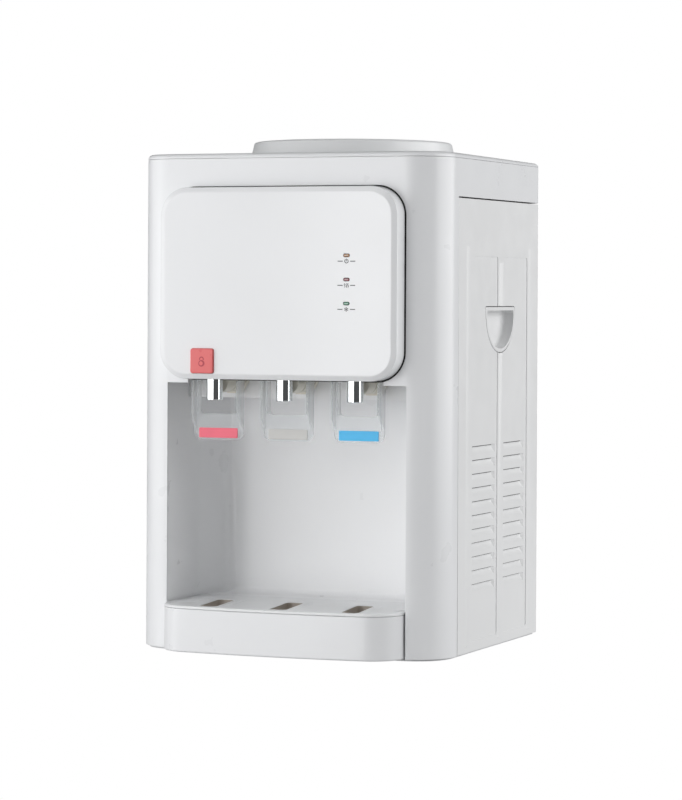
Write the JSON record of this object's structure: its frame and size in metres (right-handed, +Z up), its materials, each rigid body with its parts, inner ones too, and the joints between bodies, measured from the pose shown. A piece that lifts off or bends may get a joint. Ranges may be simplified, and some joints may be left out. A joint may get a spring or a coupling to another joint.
{
  "type": "countertop water dispenser",
  "caption": "Countertop bottled-water dispenser with push-lever taps over a cup bay, a raised control panel, a pull-out drip tray and a round bottle seat on top.",
  "frame": {"origin": "on the resting plane under the middle of the object's box", "axes": "+Z up, +Y from the front to the back, +X to the right as seen from the front"},
  "size_m": [0.31, 0.3348, 0.485],
  "materials": {
    "gloss_white": "glossy white ABS",
    "satin_white": "satin white ABS",
    "grey_white": "pale grey-white satin ABS",
    "cream_plastic": "natural cream polypropylene",
    "clear_plastic": "clear polished plastic",
    "chrome": "polished chrome plating",
    "button_red": "salmon red moulded plastic",
    "label_red": "printed strip, red",
    "label_grey": "printed strip, grey",
    "label_blue": "printed strip, blue",
    "amber_lens": "unlit amber lens",
    "red_lens": "unlit red lens",
    "green_lens": "unlit green lens",
    "painted_steel": "light grey powder coat",
    "stainless_steel": "brushed stainless steel",
    "aluminium": "extruded aluminium",
    "black_plastic": "black moulded plastic",
    "foot_rubber": "black rubber",
    "foam": "expanded insulation foam",
    "silicone": "translucent silicone hose",
    "circuit_board": "green circuit board"
  },
  "bodies": {
    "cabinet": {"front_housing": "gloss_white", "dispensing_alcove": "gloss_white", "top_cover": "gloss_white", "control_panel": "gloss_white", "right_side_panel": "satin_white", "left_side_panel": "satin_white", "right_handle_cup": "satin_white", "left_handle_cup": "satin_white", "tank_baffle": "satin_white", "rear_panel": "painted_steel", "base_plate": "painted_steel", "tank_stand": "painted_steel", "power_lens": "amber_lens", "heating_lens": "red_lens", "cooling_lens": "green_lens", "indicator_board": "circuit_board", "power_board": "circuit_board", "cold_tank": "stainless_steel", "hot_tank": "stainless_steel", "cold_tank_foam": "foam", "heater_band": "aluminium", "heat_sink": "aluminium", "thermostat": "black_plastic", "fan_frame": "black_plastic", "cord_gland": "black_plastic", "hot_hose": "silicone", "normal_hose": "silicone", "cold_hose": "silicone", "drain_pipe": "silicone", "foot_front_left": "foot_rubber", "foot_front_right": "foot_rubber", "foot_rear_left": "foot_rubber", "foot_rear_right": "foot_rubber", "hot_tap_body": "cream_plastic", "hot_tap_spout": "chrome", "normal_tap_body": "cream_plastic", "normal_tap_spout": "chrome", "cold_tap_body": "cream_plastic", "cold_tap_spout": "chrome"},
    "hot_lever": {"hot_tap_lever": "clear_plastic", "hot_lever_label": "label_red"},
    "normal_lever": {"normal_tap_lever": "clear_plastic", "normal_lever_label": "label_grey"},
    "cold_lever": {"cold_tap_lever": "clear_plastic", "cold_lever_label": "label_blue"},
    "hot_stem": {"hot_valve_stem": "cream_plastic"},
    "normal_stem": {"normal_valve_stem": "cream_plastic"},
    "cold_stem": {"cold_valve_stem": "cream_plastic"},
    "child_lock": {"child_lock_button": "button_red", "child_lock_latch": "satin_white"},
    "drip_tray": {"drip_tray": "gloss_white"},
    "drip_grille": {"drip_grille": "grey_white"},
    "bottle_seat": {"bottle_collar": "grey_white", "bottle_funnel": "grey_white", "feed_probe": "satin_white"},
    "heating_switch": {"heating_switch": "button_red"},
    "cooling_switch": {"cooling_switch": "black_plastic"},
    "fan": {"fan_rotor": "black_plastic"},
    "drain_cap": {"drain_cap": "satin_white"}
  },
  "joints": [
    {"name": "hot_lever_hinge", "type": "hinge", "parent": "cabinet", "child": "hot_lever", "pos_m": [-0.071, -0.1399, 0.285], "axis": [1, 0, 0], "range_deg": [0, 12], "stiffness_Nm_per_rad": 0.5, "springref_deg": -8.59},
    {"name": "hot_stem_slide", "type": "slide", "parent": "cabinet", "child": "hot_stem", "axis": [0, 0, 1], "range_m": [0, 0.002]},
    {"name": "normal_lever_hinge", "type": "hinge", "parent": "cabinet", "child": "normal_lever", "pos_m": [0, -0.1399, 0.285], "axis": [1, 0, 0], "range_deg": [0, 12], "stiffness_Nm_per_rad": 0.5, "springref_deg": -8.59},
    {"name": "normal_stem_slide", "type": "slide", "parent": "cabinet", "child": "normal_stem", "axis": [0, 0, 1], "range_m": [0, 0.002]},
    {"name": "cold_lever_hinge", "type": "hinge", "parent": "cabinet", "child": "cold_lever", "pos_m": [0.071, -0.1399, 0.285], "axis": [1, 0, 0], "range_deg": [0, 12], "stiffness_Nm_per_rad": 0.5, "springref_deg": -8.59},
    {"name": "cold_stem_slide", "type": "slide", "parent": "cabinet", "child": "cold_stem", "axis": [0, 0, 1], "range_m": [0, 0.002]},
    {"name": "child_lock_press", "type": "slide", "parent": "cabinet", "child": "child_lock", "axis": [0, 1, 0], "range_m": [0, 0.0025], "stiffness_N_per_m": 300, "springref_m": -0.002},
    {"name": "drip_tray_slide", "type": "slide", "parent": "cabinet", "child": "drip_tray", "axis": [0, -1, 0], "range_m": [0, 0.13]},
    {"name": "drip_grille_lift", "type": "slide", "parent": "drip_tray", "child": "drip_grille", "axis": [0, 0, 1], "range_m": [0, 0.03]},
    {"name": "bottle_seat_lift", "type": "slide", "parent": "cabinet", "child": "bottle_seat", "axis": [0, 0, 1], "range_m": [0, 0.09]},
    {"name": "heating_switch_rock", "type": "hinge", "parent": "cabinet", "child": "heating_switch", "pos_m": [0.1, 0.1525, 0.399], "axis": [1, 0, 0], "range_deg": [0, 14]},
    {"name": "cooling_switch_rock", "type": "hinge", "parent": "cabinet", "child": "cooling_switch", "pos_m": [0.074, 0.1525, 0.399], "axis": [1, 0, 0], "range_deg": [0, 14]},
    {"name": "fan_spin", "type": "hinge", "parent": "cabinet", "child": "fan", "pos_m": [0, 0.1425, 0.35], "axis": [0, 1, 0], "continuous": true},
    {"name": "drain_cap_pull", "type": "slide", "parent": "cabinet", "child": "drain_cap", "axis": [0, 1, 0], "range_m": [0, 0.014]}
  ],
  "couplings": [
    {"joint": "hot_stem_slide", "follows": "hot_lever_hinge", "m_per_rad": 0.0095},
    {"joint": "normal_stem_slide", "follows": "normal_lever_hinge", "m_per_rad": 0.0095},
    {"joint": "cold_stem_slide", "follows": "cold_lever_hinge", "m_per_rad": 0.0095}
  ]
}
